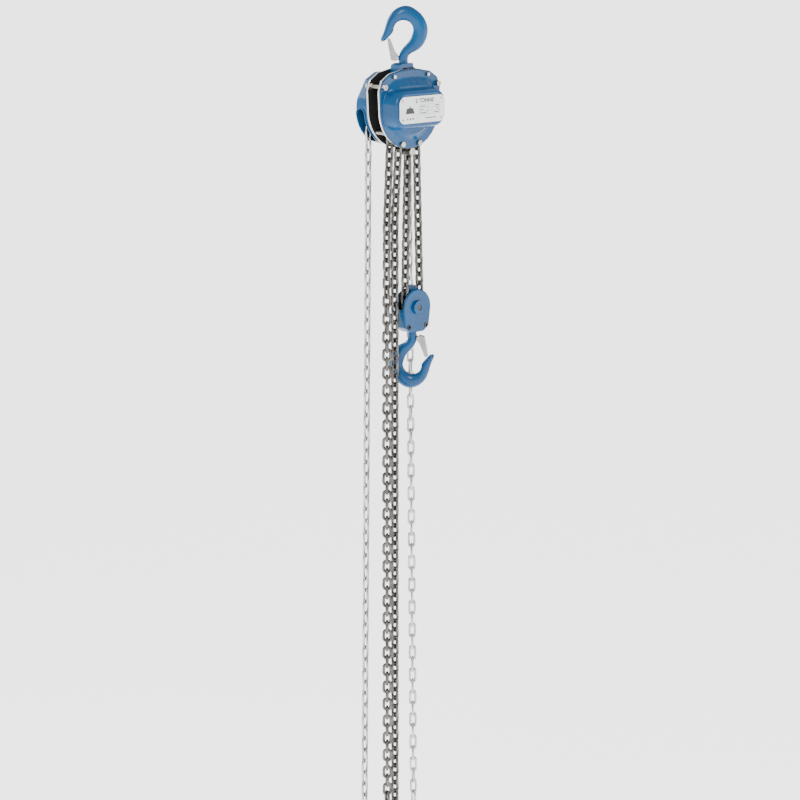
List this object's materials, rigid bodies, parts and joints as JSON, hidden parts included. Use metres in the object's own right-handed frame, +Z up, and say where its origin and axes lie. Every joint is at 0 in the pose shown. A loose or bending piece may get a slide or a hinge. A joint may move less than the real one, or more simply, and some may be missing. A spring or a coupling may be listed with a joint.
{
  "type": "manual chain hoist",
  "caption": "Hand-operated chain hoist: hook-hung head with gear case and hand wheel, load chain reeved through a swivelling hook block, and an endless hand chain.",
  "frame": {"origin": "centre of the top hook's bowl, where the hoist hangs from its pin or beam trolley", "axes": "+Z up along the hanging hoist, drive shaft along Y with the rating plate facing -Y, strands of load chain side by side along X"},
  "size_m": [0.1598, 0.1195, 1.7645],
  "materials": {
    "blue_paint": "gloss blue enamel",
    "plated_plate": "zinc-plated steel plate",
    "bright_zinc": "bright zinc plating",
    "spring_steel": "spring steel",
    "dark_steel": "blackened steel",
    "machined_steel": "ground steel, oiled",
    "friction_lining": "moulded friction lining",
    "label_metal": "satin printed aluminium",
    "load_chain_steel": "blackened alloy chain, oiled",
    "hand_chain_zinc": "bright zinc-plated chain"
  },
  "bodies": {
    "top_hook": {"top_hook": "blue_paint", "top_hook_nut": "dark_steel", "top_thrust_washer": "dark_steel", "top_latch_rivet": "bright_zinc"},
    "top_latch": {"top_latch": "bright_zinc", "top_latch_spring": "spring_steel"},
    "top_yoke": {"top_yoke": "blue_paint"},
    "load_sheave": {"load_sheave": "dark_steel", "load_gear": "machined_steel"},
    "hand_wheel": {"hand_wheel": "dark_steel", "castle_nut": "machined_steel", "drive_shaft": "machined_steel", "brake_hub": "machined_steel", "friction_discs": "friction_lining"},
    "disc_gear_left": {"disc_gear_left": "machined_steel"},
    "disc_gear_right": {"disc_gear_right": "machined_steel"},
    "ratchet_disc": {"ratchet_disc": "machined_steel"},
    "pawl_left": {"pawl_left": "dark_steel"},
    "pawl_right": {"pawl_right": "dark_steel"},
    "hook_block": {"block_shell_front": "blue_paint", "block_shell_rear": "blue_paint", "block_bolts_and_nuts": "dark_steel", "block_rivet": "dark_steel", "idler_axle": "dark_steel", "load_chain_on_idler": "load_chain_steel"},
    "idler_sheave": {"idler_sheave": "dark_steel"},
    "bottom_hook": {"bottom_hook": "blue_paint", "bottom_hook_nut": "dark_steel", "bottom_thrust_washer": "dark_steel", "bottom_latch_rivet": "bright_zinc"},
    "bottom_latch": {"bottom_latch": "bright_zinc", "bottom_latch_spring": "spring_steel"},
    "head": {"anchor_bolt": "bright_zinc", "anchor_bracket": "dark_steel", "anchor_nut": "bright_zinc", "anchor_pins": "dark_steel", "chain_guides": "dark_steel", "chain_stripper": "dark_steel", "cover_pillars": "bright_zinc", "cover_screws": "bright_zinc", "gear_bridge": "dark_steel", "gear_cover": "blue_paint", "hand_chain_left_strand": "hand_chain_zinc", "hand_chain_on_wheel": "hand_chain_zinc", "hand_chain_right_strand": "hand_chain_zinc", "hand_wheel_cover": "blue_paint", "load_chain_dead_fall": "load_chain_steel", "load_chain_live_fall": "load_chain_steel", "load_chain_on_sheave": "load_chain_steel", "load_chain_slack_end": "load_chain_steel", "load_chain_slack_side": "load_chain_steel", "name_plate": "label_metal", "name_plate_rivets": "bright_zinc", "pawl_posts": "dark_steel", "sheave_bearings": "machined_steel", "side_plate_front": "plated_plate", "side_plate_rear": "plated_plate", "stay_bolts": "bright_zinc", "stay_nuts": "bright_zinc", "top_pin": "dark_steel"}
  },
  "joints": [
    {"name": "top_yoke_swivel", "type": "hinge", "parent": "top_hook", "child": "top_yoke", "pos_m": [0, 0, -0.064], "axis": [0, 0, 1], "continuous": true},
    {"name": "head_tilt", "type": "hinge", "parent": "top_yoke", "child": "head", "pos_m": [0, 0, -0.091], "axis": [0, 1, 0], "range_deg": [-8, 8]},
    {"name": "top_latch_hinge", "type": "hinge", "parent": "top_hook", "child": "top_latch", "pos_m": [-0.00966, 0.0087, -0.054], "axis": [0.6691, 0.7431, 0], "range_deg": [0, 26], "stiffness_Nm_per_rad": 0.05, "springref_deg": -22.92},
    {"name": "hand_wheel_spin", "type": "hinge", "parent": "head", "child": "hand_wheel", "pos_m": [0, 0.0425, -0.152], "axis": [0, -1, 0], "range_deg": [0, 7680], "deforming": ["load_chain_dead_fall", "load_chain_live_fall", "load_chain_on_idler", "load_chain_on_sheave", "load_chain_slack_end", "load_chain_slack_side", "hand_chain_left_strand", "hand_chain_on_wheel", "hand_chain_right_strand"]},
    {"name": "disc_gear_left_spin", "type": "hinge", "parent": "head", "child": "disc_gear_left", "pos_m": [-0.03, -0.036, -0.152], "axis": [0, -1, 0], "range_deg": [-1920, 0]},
    {"name": "disc_gear_right_spin", "type": "hinge", "parent": "head", "child": "disc_gear_right", "pos_m": [0.03, -0.036, -0.152], "axis": [0, -1, 0], "range_deg": [-1920, 0]},
    {"name": "load_sheave_spin", "type": "hinge", "parent": "head", "child": "load_sheave", "pos_m": [0, 0, -0.152], "axis": [0, -1, 0], "range_deg": [0, 480]},
    {"name": "ratchet_disc_spin", "type": "hinge", "parent": "head", "child": "ratchet_disc", "pos_m": [0, 0.028, -0.152], "axis": [0, -1, 0], "range_deg": [0, 7680]},
    {"name": "pawl_left_swing", "type": "hinge", "parent": "head", "child": "pawl_left", "pos_m": [-0.0385, 0.028, -0.136], "axis": [0, -1, 0], "range_deg": [0, 12], "stiffness_Nm_per_rad": 0.02, "springref_deg": -28.65},
    {"name": "pawl_right_swing", "type": "hinge", "parent": "head", "child": "pawl_right", "pos_m": [0.0385, 0.028, -0.168], "axis": [0, -1, 0], "range_deg": [0, 12], "stiffness_Nm_per_rad": 0.02, "springref_deg": -28.65},
    {"name": "block_lift", "type": "slide", "parent": "head", "child": "hook_block", "axis": [0, 0, 1], "range_m": [0, 0.1441]},
    {"name": "idler_sheave_spin", "type": "hinge", "parent": "hook_block", "child": "idler_sheave", "pos_m": [0.024, 0, -0.54782], "axis": [0, -1, 0], "range_deg": [0, 360.5]},
    {"name": "bottom_hook_swivel", "type": "hinge", "parent": "hook_block", "child": "bottom_hook", "pos_m": [0.024, 0, -0.59782], "axis": [0, 0, 1], "continuous": true},
    {"name": "bottom_latch_hinge", "type": "hinge", "parent": "bottom_hook", "child": "bottom_latch", "pos_m": [0.03236, -0.00996, -0.61182], "axis": [0.766, 0.6428, 0], "range_deg": [0, 26], "stiffness_Nm_per_rad": 0.05, "springref_deg": -22.92}
  ],
  "couplings": [
    {"joint": "disc_gear_left_spin", "follows": "hand_wheel_spin", "ratio": -0.25},
    {"joint": "disc_gear_right_spin", "follows": "hand_wheel_spin", "ratio": -0.25},
    {"joint": "load_sheave_spin", "follows": "hand_wheel_spin", "ratio": 0.0625},
    {"joint": "ratchet_disc_spin", "follows": "hand_wheel_spin", "ratio": 1},
    {"joint": "block_lift", "follows": "hand_wheel_spin", "m_per_rad": 0.0010743},
    {"joint": "idler_sheave_spin", "follows": "hand_wheel_spin", "ratio": 0.046875}
  ]
}
